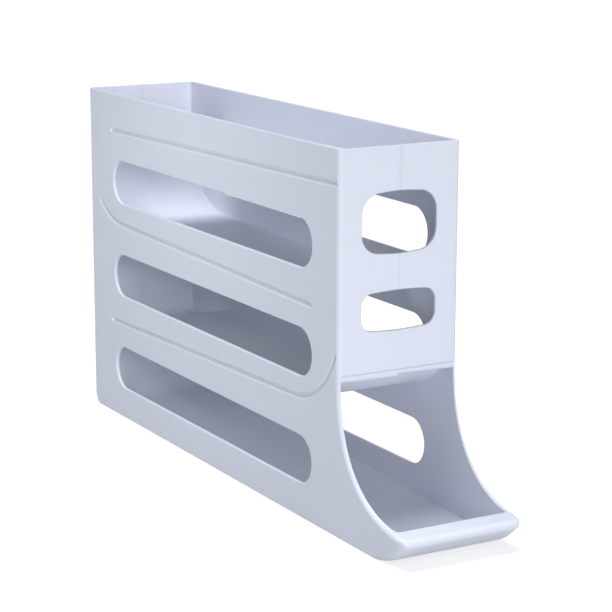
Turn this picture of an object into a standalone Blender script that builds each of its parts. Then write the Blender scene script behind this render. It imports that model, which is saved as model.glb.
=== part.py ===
"""Four-lane rolling dispenser: a slim upright case whose load rolls down to a tray.

The case is two moulded half shells that meet on the mid-plane. Each carries one side wall,
half of the front, back and bottom walls, half of the four sloping ramps and half of the tray.
X is the width, the tray faces -Y, Z is up, and the origin is the centre of the bottom.
"""
import math

import bmesh
import bpy
from mathutils import Matrix

# Overall sizes in metres
WIDTH = 0.0810
HEIGHT = 0.2258
BODY_LENGTH = 0.3422
TRAY_REACH = 0.0705
WALL = 0.0022

# Outer roundings of the case
EDGE_RADIUS = 0.0030
BASE_EDGE_RADIUS = 0.0018
BACK_EDGE_RADIUS = 0.0045
BACK_FOOT_RADIUS = 0.0090
LIP_CORNER_SETBACK = 0.0062

# Swept front edge of the side walls, a quarter of a superellipse
SWEEP_TOP_SHARE = 0.4309
SWEEP_DEPTH = 0.0738
SWEEP_POWER = 2.37

# Tray and its rolled lip
LIP_EDGE = 0.0582
LIP_HEIGHT = 0.0204
LIP_SLOPE = math.radians(9.0)
LIP_TIP_RADIUS = 0.0030
NOSE_LEAN = math.radians(50.2)
HEEL_RADIUS = 0.0343
TRAY_FILLET = 0.0160
LIP_CORE_BLUNTING = math.radians(4.0)

# Foot of the front wall: a strip set back a little hangs below the sweep's top
FRONT_WALL_DIP = 0.0010
STRIP_HEIGHT = 0.0045
STRIP_SETBACK = 0.0004

# Lane faces: height at the front face and at the back face, three by the case's height
TOP_RAMP_SHARES = (0.9173, 0.8898)
SECOND_RAMP_SHARES = (0.5839, 0.6163)
THIRD_RAMP_SHARES = (0.3388, 0.2984)
FLOOR_RAMP = (0.0026, 0.0142)
SCOOP_RADIUS = 0.0510
SCOOP_SWING = math.radians(88.0)
BACK_DROP = 0.0530
FRONT_DROP = 0.0520

# Side slots, full-round at both ends
SLOT_HEIGHT = 0.0291
SLOT_FRONT = 0.0302
SLOT_BACK = 0.0395
SLOT_LEVEL_SHARES = (0.7369, 0.4493, 0.1601)

# Grooves moulded round in section along the outside of each ramp
GROOVE_RADIUS = 0.0010
GROOVE_LIFT = 0.0003
TOP_GROOVE_FRONT = 0.0039
TOP_GROOVE_BACK = 0.0384
SECOND_GROOVE_FRONT = 0.0322
THIRD_GROOVE_BACK = 0.0359
GROOVE_SWING = math.radians(39.5)
THIRD_GROOVE_SWING = math.radians(66.5)

# Windows in the front wall: foot and top by the case's height, corners by the window's own
WINDOW_WIDTH = 0.0500
WINDOW_BULGE = 0.0007
UPPER_WINDOW_SHARES = (0.7281, 0.8813)
LOWER_WINDOW_SHARES = (0.5301, 0.6275)
WINDOW_CORNER_SHARE = 0.3460

# Joint between the two half shells
SEAM = 0.0003
TONGUE_REACH = 0.0030
TONGUE_MARGIN = 0.0012
TONGUE_RELIEF = 0.0001
BOSS_RADIUS = 0.0032
BOSS_SINK = 0.0010
PEG_RADIUS = 0.0016
PEG_REACH = 0.0060
PEG_ROOT = 0.0040
TOP_BOSS_SHARE = 0.50
SECOND_BOSS_SHARE = 0.34
THIRD_BOSS_SHARE = 0.25
FLOOR_BOSS_SHARE = 0.70
SCOOP_BOSS_ANGLE = math.radians(-45.0)

# How far a cutter passes what it cuts, and how close points are welded
OVERRUN = 0.0040
WELD = 0.00003

# Facets on round stretches, and how much those of the rims crowd towards the sides
SWEEP_STEPS = 24
SMALL_ARC_STEPS = 8
SCOOP_STEPS = 18
SLOT_STEPS = 18
RIM_STEPS = 9
RIM_CROWDING = 1.5
ROUND_SIDES = 24
GROOVE_RESOLUTION = 2
SMOOTH_ANGLE = math.radians(32.0)

# Finish
WHITE = (0.78, 0.80, 0.84)
ROUGHNESS = 0.28

# Places worked out from the sizes above
LENGTH = BODY_LENGTH + TRAY_REACH
FRONT = TRAY_REACH - LENGTH / 2
BACK = LENGTH / 2
INNER_FRONT = FRONT + WALL
INNER_BACK = BACK - WALL
HALF_WIDTH = WIDTH / 2
INNER_HALF_WIDTH = HALF_WIDTH - WALL
ABOVE = HEIGHT + BACK_EDGE_RADIUS + OVERRUN
LIP_Y = FRONT - LIP_EDGE
SWEEP_TOP = HEIGHT * SWEEP_TOP_SHARE
FRONT_WALL_FOOT = SWEEP_TOP - FRONT_WALL_DIP
STRIP_FOOT = FRONT_WALL_FOOT - STRIP_HEIGHT
STRIP_FACE = FRONT + STRIP_SETBACK
TOP_RAMP = tuple(HEIGHT * share for share in TOP_RAMP_SHARES)
SECOND_RAMP = tuple(HEIGHT * share for share in SECOND_RAMP_SHARES)
THIRD_RAMP = tuple(HEIGHT * share for share in THIRD_RAMP_SHARES)
BACK_SCOOP = INNER_BACK + WALL / 2 - SCOOP_RADIUS
FRONT_SCOOP = INNER_FRONT - WALL / 2 + SCOOP_RADIUS


def arc(centre, radius, start, end, steps):
    """Points (y, z) along an arc, angles in radians from +Y towards +Z."""
    turn = [start + (end - start) * step / steps for step in range(steps + 1)]
    return [(centre[0] + radius * math.cos(a), centre[1] + radius * math.sin(a)) for a in turn]


def clear_scene():
    """Remove every object of the open file."""
    for item in list(bpy.data.objects):
        bpy.data.objects.remove(item, do_unlink=True)


def new_collection(name):
    """A collection linked to the scene."""
    collection = bpy.data.collections.new(name)
    bpy.context.scene.collection.children.link(collection)
    return collection


def add_object(name, mesh, collection):
    """An object at the origin that carries the mesh."""
    item = bpy.data.objects.new(name, mesh)
    collection.objects.link(item)
    return item


def as_cutter(item):
    """Mark an object as a cutter that is never shown as a piece."""
    item.hide_render = True
    item.display_type = 'WIRE'
    return item


def apply_modifiers(item):
    """Give the object its evaluated mesh and drop its modifiers."""
    graph = bpy.context.evaluated_depsgraph_get()
    mesh = bpy.data.meshes.new_from_object(item.evaluated_get(graph))
    item.modifiers.clear()
    item.data = mesh
    return item


def weld(mesh):
    """Join points that lie closer together than any real feature, and face all sides out."""
    shape = bmesh.new()
    shape.from_mesh(mesh)
    bmesh.ops.remove_doubles(shape, verts=shape.verts, dist=WELD)
    bmesh.ops.recalc_face_normals(shape, faces=shape.faces)
    shape.to_mesh(mesh)
    shape.free()


def curve_to_mesh(item, collection):
    """Turn a curve object into a welded mesh object that keeps its place."""
    graph = bpy.context.evaluated_depsgraph_get()
    mesh = bpy.data.meshes.new_from_object(item.evaluated_get(graph))
    mesh.transform(item.matrix_world)
    weld(mesh)
    name = item.name
    bpy.data.objects.remove(item, do_unlink=True)
    return as_cutter(add_object(name, mesh, collection))


# Local X, local Y and depth directions of flat outlines, as matrix columns
SIDE_PLANE = Matrix(((0, 0, 1), (1, 0, 0), (0, 1, 0)))
FRONT_PLANE = Matrix(((1, 0, 0), (0, 0, -1), (0, 1, 0)))


def flat_solid(name, outline, plane, middle, half_depth, collection):
    """A flat outline drawn in a plane and thickened evenly to both sides of its middle."""
    curve = bpy.data.curves.new(name, 'CURVE')
    curve.dimensions = '2D'
    curve.fill_mode = 'BOTH'
    curve.extrude = half_depth
    spline = curve.splines.new('POLY')
    spline.points.add(len(outline) - 1)
    for point, (across, up) in zip(spline.points, outline):
        point.co = (across, up, 0, 1)
    spline.use_cyclic_u = True
    item = bpy.data.objects.new(name, curve)
    collection.objects.link(item)
    item.matrix_world = Matrix.Translation(middle) @ plane.to_4x4()
    bpy.context.view_layer.update()
    return curve_to_mesh(item, collection)


def box(name, low, high, collection):
    """A box between two corners."""
    mesh = bpy.data.meshes.new(name)
    shape = bmesh.new()
    bmesh.ops.create_cube(shape, size=1)
    size = [b - a for a, b in zip(low, high)]
    middle = [(a + b) / 2 for a, b in zip(low, high)]
    bmesh.ops.transform(shape, matrix=Matrix.Diagonal((*size, 1)), verts=shape.verts)
    bmesh.ops.translate(shape, vec=middle, verts=shape.verts)
    shape.to_mesh(mesh)
    shape.free()
    return as_cutter(add_object(name, mesh, collection))


def cross_rod(name, centre, radius, low_x, high_x, collection):
    """A round rod across the width, centred on a (y, z) place."""
    mesh = bpy.data.meshes.new(name)
    shape = bmesh.new()
    bmesh.ops.create_cone(
        shape, cap_ends=True, segments=ROUND_SIDES,
        radius1=radius, radius2=radius, depth=high_x - low_x,
        matrix=Matrix.Rotation(math.radians(90), 4, 'Y'))
    bmesh.ops.translate(shape, vec=((low_x + high_x) / 2, *centre), verts=shape.verts)
    shape.to_mesh(mesh)
    shape.free()
    return as_cutter(add_object(name, mesh, collection))


def combine(item, tools, operation):
    """Boolean the tools with the item, one modifier each."""
    for tool in tools:
        modifier = item.modifiers.new(f"{operation.lower()} {tool.name}", 'BOOLEAN')
        modifier.operation = operation
        modifier.solver = 'EXACT'
        modifier.object = tool
    return item


# Outer form of the case
def nose_circles():
    """Centres of the lip's tip circle and of the heel circle that the nose line joins."""
    tip_y = FRONT - TRAY_REACH + LIP_TIP_RADIUS
    fall = math.tan(LIP_SLOPE) * (LIP_Y - tip_y) + LIP_TIP_RADIUS / math.cos(LIP_SLOPE)
    tip_z = LIP_HEIGHT - fall
    normal_y = -math.cos(NOSE_LEAN)
    normal_z = -math.sin(NOSE_LEAN)
    spread = (LIP_TIP_RADIUS - HEEL_RADIUS) - (HEEL_RADIUS - tip_z) * normal_z
    return (tip_y, tip_z), (tip_y + spread / normal_y, HEEL_RADIUS)


def sweep_points():
    """Superellipse from the foot of the front face down and out to the lip's inner edge."""
    power = 2 / SWEEP_POWER
    last = math.acos((1 - LIP_EDGE / SWEEP_DEPTH) ** (1 / power))
    drop = (SWEEP_TOP - LIP_HEIGHT) / math.sin(last) ** power
    points = []
    for step in range(SWEEP_STEPS + 1):
        turn = last * step / SWEEP_STEPS
        out = SWEEP_DEPTH * (1 - math.cos(turn) ** power)
        points.append((FRONT - out, SWEEP_TOP - drop * math.sin(turn) ** power))
    return points


def case_outline():
    """Side outline (y, z) from the top of the front face round to the top of the back."""
    tip, heel = nose_circles()
    lean = math.pi + NOSE_LEAN
    foot = (BACK - BACK_FOOT_RADIUS, BACK_FOOT_RADIUS)
    body = [(FRONT, ABOVE), (FRONT, ABOVE - OVERRUN)] + sweep_points()
    nose = arc(tip, LIP_TIP_RADIUS, math.pi / 2 + LIP_SLOPE, lean, SMALL_ARC_STEPS)
    nose += arc(heel, HEEL_RADIUS, lean, math.pi * 3 / 2, SMALL_ARC_STEPS)
    rear = arc(foot, BACK_FOOT_RADIUS, -math.pi / 2, 0, SMALL_ARC_STEPS)
    rear += [(BACK, ABOVE - OVERRUN), (BACK, ABOVE)]
    return body + nose + rear, len(body), len(body) + len(nose)


def outward_normals(points):
    """Unit normals of a closed outline that runs with its solid on the left."""
    normals = []
    for index, point in enumerate(points):
        before = points[index - 1]
        after = points[(index + 1) % len(points)]
        along_y = after[0] - before[0]
        along_z = after[1] - before[1]
        size = math.hypot(along_y, along_z)
        normals.append((along_z / size, -along_y / size))
    return normals


def rounding(radius, x):
    """How far a quarter-round edge of this radius draws back at distance x from the middle."""
    past = abs(x) - (HALF_WIDTH - radius)
    if past <= 0:
        return 0
    return radius - math.sqrt(max(radius * radius - past * past, 0))


def case_section(x):
    """The side outline at distance x, drawn in by the edge roundings at its own place."""
    points, nose_start, nose_end = case_outline()
    normals = outward_normals(points)
    setback = rounding(LIP_CORNER_SETBACK, x)
    section = []
    for index, ((y, z), (normal_y, normal_z)) in enumerate(zip(points, normals)):
        along = BACK_EDGE_RADIUS if index >= nose_end else EDGE_RADIUS
        upright = BASE_EDGE_RADIUS if normal_z < 0 else EDGE_RADIUS
        y -= normal_y * rounding(along, x)
        z -= normal_z * rounding(upright, x)
        if nose_start <= index < nose_end:
            y += setback
            z += setback * math.tan(LIP_SLOPE) * z / LIP_HEIGHT
        section.append((x, y, z))
    return section


def make_case_block(collection):
    """Loft of the side outline across the width; its rims round over by place."""
    widest = max(BACK_EDGE_RADIUS, LIP_CORNER_SETBACK)
    stations = []
    for step in range(RIM_STEPS):
        turn = math.pi / 2 * (1 - (1 - step / (RIM_STEPS - 1)) ** RIM_CROWDING)
        stations.append(HALF_WIDTH - widest * (1 - math.sin(turn)))
    places = [-x for x in reversed(stations)] + stations
    shape = bmesh.new()
    rings = [[shape.verts.new(point) for point in case_section(x)] for x in places]
    for near, far in zip(rings, rings[1:]):
        for index in range(len(near)):
            after = (index + 1) % len(near)
            shape.faces.new((near[index], near[after], far[after], far[index]))
    shape.faces.new(rings[0])
    shape.faces.new(rings[-1])
    bmesh.ops.recalc_face_normals(shape, faces=shape.faces)
    mesh = bpy.data.meshes.new("case_block")
    shape.to_mesh(mesh)
    shape.free()
    return add_object("case_block", mesh, collection)


# Ramps and lanes
def lane_height(ramp, y):
    """Height of a straight lane face at y, from its heights at the front and back faces."""
    return ramp[0] + (ramp[1] - ramp[0]) * (y - FRONT) / BODY_LENGTH


def lane_lean(ramp):
    """Angle of a lane face above level, towards the back."""
    return math.atan((ramp[1] - ramp[0]) / BODY_LENGTH)


def bend_centre(ramp, y, radius):
    """Centre of an arc that leaves the lane face upwards at y."""
    return y, lane_height(ramp, y) + radius / math.cos(lane_lean(ramp))


def ramp_line(ramp, front, back, bent, drop, radius, swing):
    """Points along a lane face lowered by drop; its bent end turns up by the swing."""
    lean = lane_lean(ramp)
    down = math.pi * 3 / 2 + lean
    ends = [(y + math.sin(lean) * drop, lane_height(ramp, y) - math.cos(lean) * drop)
            for y in (front, back)]
    if bent == "front":
        centre = bend_centre(ramp, front, radius)
        return arc(centre, radius + drop, down - swing, down, SCOOP_STEPS) + ends[1:]
    if bent == "back":
        centre = bend_centre(ramp, back, radius)
        return ends[:1] + arc(centre, radius + drop, down, down + swing, SCOOP_STEPS)
    return ends


RAMPS = {
    "top_ramp": (TOP_RAMP, FRONT - OVERRUN, INNER_BACK - BACK_DROP, None),
    "second_ramp": (SECOND_RAMP, INNER_FRONT + FRONT_DROP, BACK_SCOOP, "back"),
    "third_ramp": (THIRD_RAMP, FRONT_SCOOP, INNER_BACK - BACK_DROP, "front"),
    "floor_ramp": (FLOOR_RAMP, LIP_Y, BACK_SCOOP, "back"),
}


def free_end(face_point, under_point, start, end):
    """Half-round nose between a lane face's end and its underside's end."""
    middle = [(a + b) / 2 for a, b in zip(face_point, under_point)]
    return arc(middle, WALL / 2, start, end, SMALL_ARC_STEPS)


def ramp_outline(name):
    """Closed outline of one ramp: its lane face, its underside and a round free end."""
    face = ramp_line(*RAMPS[name], 0, SCOOP_RADIUS, SCOOP_SWING)
    under = ramp_line(*RAMPS[name], WALL, SCOOP_RADIUS, SCOOP_SWING)
    up = math.pi / 2 + lane_lean(RAMPS[name][0])
    if name in ("top_ramp", "third_ramp"):
        return face[:-1] + free_end(face[-1], under[-1], up, up - math.pi) + under[-2::-1]
    if name == "second_ramp":
        return free_end(face[0], under[0], up + math.pi, up) + face[1:] + under[:0:-1]
    return face + under[::-1]


def room_outline():
    """Side outline of the space inside the walls, open at the top and over the tray."""
    inner_foot = BACK_FOOT_RADIUS - WALL
    tray = arc((LIP_Y + TRAY_FILLET, WALL + TRAY_FILLET), TRAY_FILLET,
               math.pi, math.pi * 3 / 2, SMALL_ARC_STEPS)
    corner = arc((INNER_BACK - inner_foot, WALL + inner_foot), inner_foot,
                 -math.pi / 2, 0, SMALL_ARC_STEPS)
    front = [(INNER_FRONT, ABOVE), (INNER_FRONT, STRIP_FOOT), (STRIP_FACE, STRIP_FOOT)]
    front += [(STRIP_FACE, FRONT_WALL_FOOT), (LIP_Y, FRONT_WALL_FOOT)]
    return front + tray + corner + [(INNER_BACK, ABOVE)]


def plan_outline():
    """Plan of the space inside the walls, with both back corners rounded."""
    radius = BACK_EDGE_RADIUS - WALL
    reach = INNER_HALF_WIDTH - radius
    right = arc((reach, INNER_BACK - radius), radius, 0, math.pi / 2, SMALL_ARC_STEPS)
    left = arc((-reach, INNER_BACK - radius), radius, math.pi / 2, math.pi, SMALL_ARC_STEPS)
    ahead = LIP_Y - OVERRUN
    return [(-INNER_HALF_WIDTH, ahead), (INNER_HALF_WIDTH, ahead)] + right + left


def boss_places():
    """Centres (y, z) of the bosses, each sunk a little into the underside that carries it."""
    hang = WALL + BOSS_RADIUS - BOSS_SINK
    shares = (TOP_BOSS_SHARE, SECOND_BOSS_SHARE, THIRD_BOSS_SHARE, FLOOR_BOSS_SHARE)
    places = []
    for (ramp, *_), share in zip(RAMPS.values(), shares):
        y = FRONT + BODY_LENGTH * share
        places.append((y, lane_height(ramp, y) - hang))
    for ramp in (SECOND_RAMP, FLOOR_RAMP):
        centre = bend_centre(ramp, BACK_SCOOP, SCOOP_RADIUS)
        reach = SCOOP_RADIUS + hang
        places.append((centre[0] + reach * math.cos(SCOOP_BOSS_ANGLE),
                       centre[1] + reach * math.sin(SCOOP_BOSS_ANGLE)))
    return places


def make_lanes(cutters):
    """The space that the load rolls through: the room less its ramps and bosses."""
    depth = HALF_WIDTH + OVERRUN
    room = flat_solid("room", room_outline(), SIDE_PLANE, (0, 0, 0), INNER_HALF_WIDTH + WALL / 2,
                      cutters)
    plan = flat_solid("room_plan", plan_outline(), Matrix.Identity(3), (0, 0, ABOVE / 2),
                      ABOVE, cutters)
    combine(room, [plan], 'INTERSECT')
    ramps = [flat_solid(name, ramp_outline(name), SIDE_PLANE, (0, 0, 0), depth, cutters)
             for name in RAMPS]
    bosses = [cross_rod(f"boss_{index}", place, BOSS_RADIUS, -depth, depth, cutters)
              for index, place in enumerate(boss_places())]
    combine(room, ramps + bosses, 'DIFFERENCE')
    return apply_modifiers(room)


# Openings and grooves
def slot_outline(level):
    """A level slot with full-round ends."""
    radius = SLOT_HEIGHT / 2
    front = (FRONT + SLOT_FRONT + radius, level)
    back = (BACK - SLOT_BACK - radius, level)
    quarter = math.pi / 2
    return (arc(back, radius, -quarter, quarter, SLOT_STEPS)
            + arc(front, radius, quarter, quarter * 3, SLOT_STEPS))


def make_slots(cutters):
    """Three slots that pass through both side walls."""
    return [flat_solid(f"slot_{index}", slot_outline(HEIGHT * share), SIDE_PLANE, (0, 0, 0),
                       HALF_WIDTH + OVERRUN, cutters)
            for index, share in enumerate(SLOT_LEVEL_SHARES)]


def window_span(shares):
    """Foot and top of a window at its corners."""
    return [HEIGHT * share for share in shares]


def bowed_edge(start, end, level, bulge):
    """Points between two ends at one level, bowed by the bulge at the middle."""
    shares = [step / SMALL_ARC_STEPS for step in range(1, SMALL_ARC_STEPS)]
    return [(start + (end - start) * share, level + bulge * math.sin(math.pi * share))
            for share in shares]


def window_outline(foot, top):
    """A window with round corners whose foot and top bow outwards a little."""
    radius = (top - foot) * WINDOW_CORNER_SHARE
    inner = WINDOW_WIDTH / 2 - radius
    low = foot + radius
    high = top - radius
    quarter = math.pi / 2
    outline = bowed_edge(-inner, inner, foot, -WINDOW_BULGE)
    outline += arc((inner, low), radius, -quarter, 0, SMALL_ARC_STEPS)
    outline += arc((inner, high), radius, 0, quarter, SMALL_ARC_STEPS)
    outline += bowed_edge(inner, -inner, top, WINDOW_BULGE)
    outline += arc((-inner, high), radius, quarter, quarter * 2, SMALL_ARC_STEPS)
    outline += arc((-inner, low), radius, quarter * 2, quarter * 3, SMALL_ARC_STEPS)
    return outline


def make_windows(cutters):
    """Two windows through the front wall, low and high."""
    return [flat_solid(f"window_{index}", window_outline(*window_span(shares)), FRONT_PLANE,
                       (0, FRONT + WALL / 2, 0), WALL / 2 + OVERRUN, cutters)
            for index, shares in enumerate((UPPER_WINDOW_SHARES, LOWER_WINDOW_SHARES))]


def groove_lines():
    """Routes (y, z) of the three grooves, each at half the thickness of its ramp."""
    middle = WALL / 2
    top = ramp_line(TOP_RAMP, FRONT + TOP_GROOVE_FRONT, BACK - TOP_GROOVE_BACK, None,
                    middle, SCOOP_RADIUS, GROOVE_SWING)
    second = ramp_line(SECOND_RAMP, FRONT + SECOND_GROOVE_FRONT, BACK_SCOOP, "back",
                       middle, SCOOP_RADIUS, GROOVE_SWING)
    third = ramp_line(THIRD_RAMP, FRONT_SCOOP, BACK - THIRD_GROOVE_BACK, "front",
                      middle, SCOOP_RADIUS, THIRD_GROOVE_SWING)
    return [top, second, third]


def make_grooves(cutters):
    """Round-section cutters that follow each groove on both outer faces."""
    grooves = []
    for side in (-1, 1):
        for index, line in enumerate(groove_lines()):
            curve = bpy.data.curves.new(f"groove_{index}", 'CURVE')
            curve.dimensions = '3D'
            curve.bevel_depth = GROOVE_RADIUS
            curve.bevel_resolution = GROOVE_RESOLUTION
            curve.use_fill_caps = True
            spline = curve.splines.new('POLY')
            spline.points.add(len(line) - 1)
            for point, (y, z) in zip(spline.points, line):
                point.co = (side * (HALF_WIDTH + GROOVE_LIFT), y, z, 1)
            name = f"groove_{'left' if side < 0 else 'right'}_{index}"
            item = bpy.data.objects.new(name, curve)
            cutters.objects.link(item)
            bpy.context.view_layer.update()
            grooves.append(curve_to_mesh(item, cutters))
    return grooves


def crossing_angles(first, first_radius, second, second_radius):
    """Angles, on each of two circles, of the crossing that lies on the side of the nose."""
    away_y = first[0] - second[0]
    away_z = first[1] - second[1]
    apart = math.hypot(away_y, away_z)
    along = (apart ** 2 + second_radius ** 2 - first_radius ** 2) / (2 * apart)
    aside = math.sqrt(max(second_radius ** 2 - along ** 2, 0))
    y = second[0] + (along * away_y - aside * away_z) / apart
    z = second[1] + (along * away_z + aside * away_y) / apart
    full_turn = math.pi * 2
    return [math.atan2(z - centre[1], y - centre[0]) % full_turn for centre in (first, second)]


def make_lip_core(cutters):
    """The cored-out inside of the rolled lip, a wall in from the nose and from the tray."""
    tip, heel = nose_circles()
    lean = math.pi + NOSE_LEAN
    tray = (LIP_Y + TRAY_FILLET, WALL + TRAY_FILLET)
    tray_radius = TRAY_FILLET + WALL
    ends = crossing_angles(heel, HEEL_RADIUS - WALL, tray, tray_radius)
    heel_end, tray_end = [angle - LIP_CORE_BLUNTING for angle in ends]
    outer = arc(tip, LIP_TIP_RADIUS - WALL, math.pi / 2 + LIP_SLOPE, lean, SMALL_ARC_STEPS)
    outer += arc(heel, HEEL_RADIUS - WALL, lean, heel_end, SMALL_ARC_STEPS)
    reach = LIP_Y - WALL - outer[0][0]
    top = outer[0][1] + reach * math.tan(LIP_SLOPE)
    tray_start = math.pi + math.asin((tray[1] - top) / tray_radius)
    inner = arc(tray, tray_radius, tray_end, tray_start, SMALL_ARC_STEPS)
    return flat_solid("lip_core", outer + inner, SIDE_PLANE, (0, 0, 0),
                      HALF_WIDTH - LIP_CORNER_SETBACK - EDGE_RADIUS, cutters)


# Joint between the halves
def tongue_spans():
    """Wall side and height span of each tongue, clear of windows, scoops and rims."""
    top = HEIGHT - TONGUE_MARGIN
    upper_foot, upper_top = window_span(UPPER_WINDOW_SHARES)
    lower_top = window_span(LOWER_WINDOW_SHARES)[1]
    past_window = WINDOW_BULGE + TONGUE_MARGIN
    second_scoop = lane_height(SECOND_RAMP, BACK_SCOOP)
    floor_scoop = lane_height(FLOOR_RAMP, BACK_SCOOP)
    past_scoop = SCOOP_RADIUS + WALL + TONGUE_MARGIN
    return [
        ("front", upper_top + past_window, top),
        ("front", lower_top + past_window, upper_foot - past_window),
        ("back", second_scoop + past_scoop, top),
        ("back", floor_scoop + past_scoop, second_scoop),
    ]


def tongue_depths(side, spare):
    """Y range of a tongue in the inner half of its wall, widened by the spare on each side."""
    near = (WALL + SEAM) / 2 - spare
    far = WALL - TONGUE_RELIEF + spare
    if side == "front":
        return FRONT + near, FRONT + far
    return BACK - far, BACK - near


def make_tongues(cutters):
    """Plates that stand out of the right half into the left one."""
    plates = []
    for index, (side, low, high) in enumerate(tongue_spans()):
        near, far = tongue_depths(side, 0)
        plates.append(box(f"tongue_{index}", (-TONGUE_REACH, near, low),
                          (TONGUE_REACH, far, high), cutters))
    return plates


def make_rebates(cutters):
    """Room in the left half for each tongue, with the seam's gap all round it."""
    rooms = []
    for index, (side, low, high) in enumerate(tongue_spans()):
        near, far = tongue_depths(side, SEAM)
        rooms.append(box(f"rebate_{index}", (-TONGUE_REACH - SEAM, near, low - SEAM),
                         (TONGUE_REACH, far, high + SEAM), cutters))
    return rooms


def make_pegs(cutters):
    """Pegs that stand out of the right half's bosses."""
    return [cross_rod(f"peg_{index}", place, PEG_RADIUS, -PEG_REACH, PEG_ROOT, cutters)
            for index, place in enumerate(boss_places())]


def make_sockets(cutters):
    """Bores in the left half's bosses, wider and deeper than the pegs by the seam's gap."""
    return [cross_rod(f"socket_{index}", place, PEG_RADIUS + SEAM, -PEG_REACH - SEAM,
                      OVERRUN, cutters) for index, place in enumerate(boss_places())]


def white_plastic(name, colour, roughness):
    """Glossy moulded plastic."""
    material = bpy.data.materials.new(name)
    material.use_nodes = True
    shader = material.node_tree.nodes["Principled BSDF"]
    shader.inputs["Base Color"].default_value = (*colour, 1)
    shader.inputs["Roughness"].default_value = roughness
    shader.inputs["Metallic"].default_value = 0
    return material


def make_half(name, body, side, cutters, parts, material):
    """One half of the case on its side of the mid-plane."""
    low = (side * SEAM / 2, FRONT - LENGTH, -HEIGHT)
    high = (side * WIDTH, FRONT + LENGTH, HEIGHT * 2)
    corners = (low, high) if side > 0 else ((high[0], *low[1:]), (low[0], *high[1:]))
    keep = box(f"keep_{name}", *corners, cutters)
    half = add_object(name, body.data.copy(), parts)
    combine(half, [keep], 'INTERSECT')
    half.data.materials.append(material)
    return half


def finish_half(half):
    """Bake the half and shade its round stretches smooth."""
    apply_modifiers(half)
    weld(half.data)
    half.data.shade_smooth()
    half.data.set_sharp_from_angle(angle=SMOOTH_ANGLE)
    return half


def main():
    """Build the case and split it into its two half shells."""
    clear_scene()
    parts = new_collection("rolling_dispenser")
    cutters = new_collection("cutters")
    body = make_case_block(cutters)
    lid = box("above_rim", (-WIDTH, FRONT - LENGTH, HEIGHT), (WIDTH, LENGTH, ABOVE * 2), cutters)
    tools = [lid, make_lanes(cutters), make_lip_core(cutters)]
    tools += make_slots(cutters) + make_windows(cutters) + make_grooves(cutters)
    combine(body, tools, 'DIFFERENCE')
    as_cutter(apply_modifiers(body))
    left_finish = white_plastic("left shell plastic", WHITE, ROUGHNESS)
    right_finish = white_plastic("right shell plastic", WHITE, ROUGHNESS)
    left = make_half("left_shell", body, -1, cutters, parts, left_finish)
    right = make_half("right_shell", body, 1, cutters, parts, right_finish)
    combine(left, make_rebates(cutters) + make_sockets(cutters), 'DIFFERENCE')
    combine(right, make_tongues(cutters) + make_pegs(cutters), 'UNION')
    finish_half(left)
    finish_half(right)


main()
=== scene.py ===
"""Looks of the four-lane rolling dispenser: its two moulded half shells and the stage.

Each half shell is worked out as numpy surfaces: a case block and the shapes that are cut
from it, all with rounded rims. X is the width, the tray faces -Y and Z is up, in metres.
"""
import math

import bmesh
import bpy
import numpy as np
from bpy.props import FloatProperty, FloatVectorProperty, PointerProperty
from mathutils import Matrix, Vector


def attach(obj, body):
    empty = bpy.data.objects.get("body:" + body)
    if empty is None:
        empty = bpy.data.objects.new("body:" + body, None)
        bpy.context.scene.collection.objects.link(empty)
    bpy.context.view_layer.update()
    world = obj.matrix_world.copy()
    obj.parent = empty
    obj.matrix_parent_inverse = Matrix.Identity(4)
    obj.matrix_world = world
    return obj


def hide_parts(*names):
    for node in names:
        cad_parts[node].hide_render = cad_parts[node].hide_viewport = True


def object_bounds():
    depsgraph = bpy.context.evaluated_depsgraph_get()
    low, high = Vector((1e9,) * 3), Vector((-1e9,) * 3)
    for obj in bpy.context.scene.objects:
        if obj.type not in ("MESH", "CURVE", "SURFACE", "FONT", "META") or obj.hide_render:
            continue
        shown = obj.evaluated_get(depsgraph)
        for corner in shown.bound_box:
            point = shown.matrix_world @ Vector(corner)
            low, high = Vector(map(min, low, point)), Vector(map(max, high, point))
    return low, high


bl_info = {
    "name": "Rolling dispenser looks",
    "version": (1, 0, 0),
    "blender": (4, 5, 0),
    "location": "View3D > Sidebar > Dispenser",
    "description": "Makes the half shells of a rolling dispenser and the stage they stand on",
    "category": "Object",
}

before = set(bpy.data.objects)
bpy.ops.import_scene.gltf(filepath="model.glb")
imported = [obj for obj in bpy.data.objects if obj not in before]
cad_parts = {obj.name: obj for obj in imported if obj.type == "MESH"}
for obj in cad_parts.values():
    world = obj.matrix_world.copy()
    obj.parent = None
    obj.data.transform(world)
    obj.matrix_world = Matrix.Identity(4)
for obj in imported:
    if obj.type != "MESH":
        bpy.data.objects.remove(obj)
CAD_LOW, CAD_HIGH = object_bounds()
CAD_SIZE = CAD_HIGH - CAD_LOW

RIGHT = math.pi / 2
TURN = math.pi * 2
X, Y, Z = range(3)

# Points closer than this are joined, and sections closer than this are left out
WELD = 0.000001
CLOSE = 0.00001

# How far the hollows overlap each other and reach into the air beyond the case
TRAY_JOIN = 0.0010
TRAY_OVERLAP = 0.0005
ABOVE_RIM = 0.0040
OVER_SWEEP = 0.0020
INTO_AIR = 0.0030

# Shares, lengths and angles at which fillets, rims and noses end or are cut short
TRAY_FILLET = 1.25
LANE_FILLET = 0.75
TIGHT_FILLET = 0.2
WEDGE_SHARE = 0.9
FADE_START = 0.0002
SWEEP_FADE = 0.0040
LIP_FADE = 0.0060
LIP_FILLET_START = RIGHT * 2.02
GROOVE_NOSE = RIGHT * 0.98
CORE_BLUNTING = math.radians(4.0)
SHARP_ANGLE = math.radians(35.0)

# Stage
FLOOR_RADIUS = 30.0
SOFTBOX_SIZE = 0.14
LAMP_COLOUR = (0.96, 0.98, 1.0)
KEY_SOFTNESS = math.radians(35.0)
FRONT_SOFTNESS = math.radians(20.0)

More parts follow.
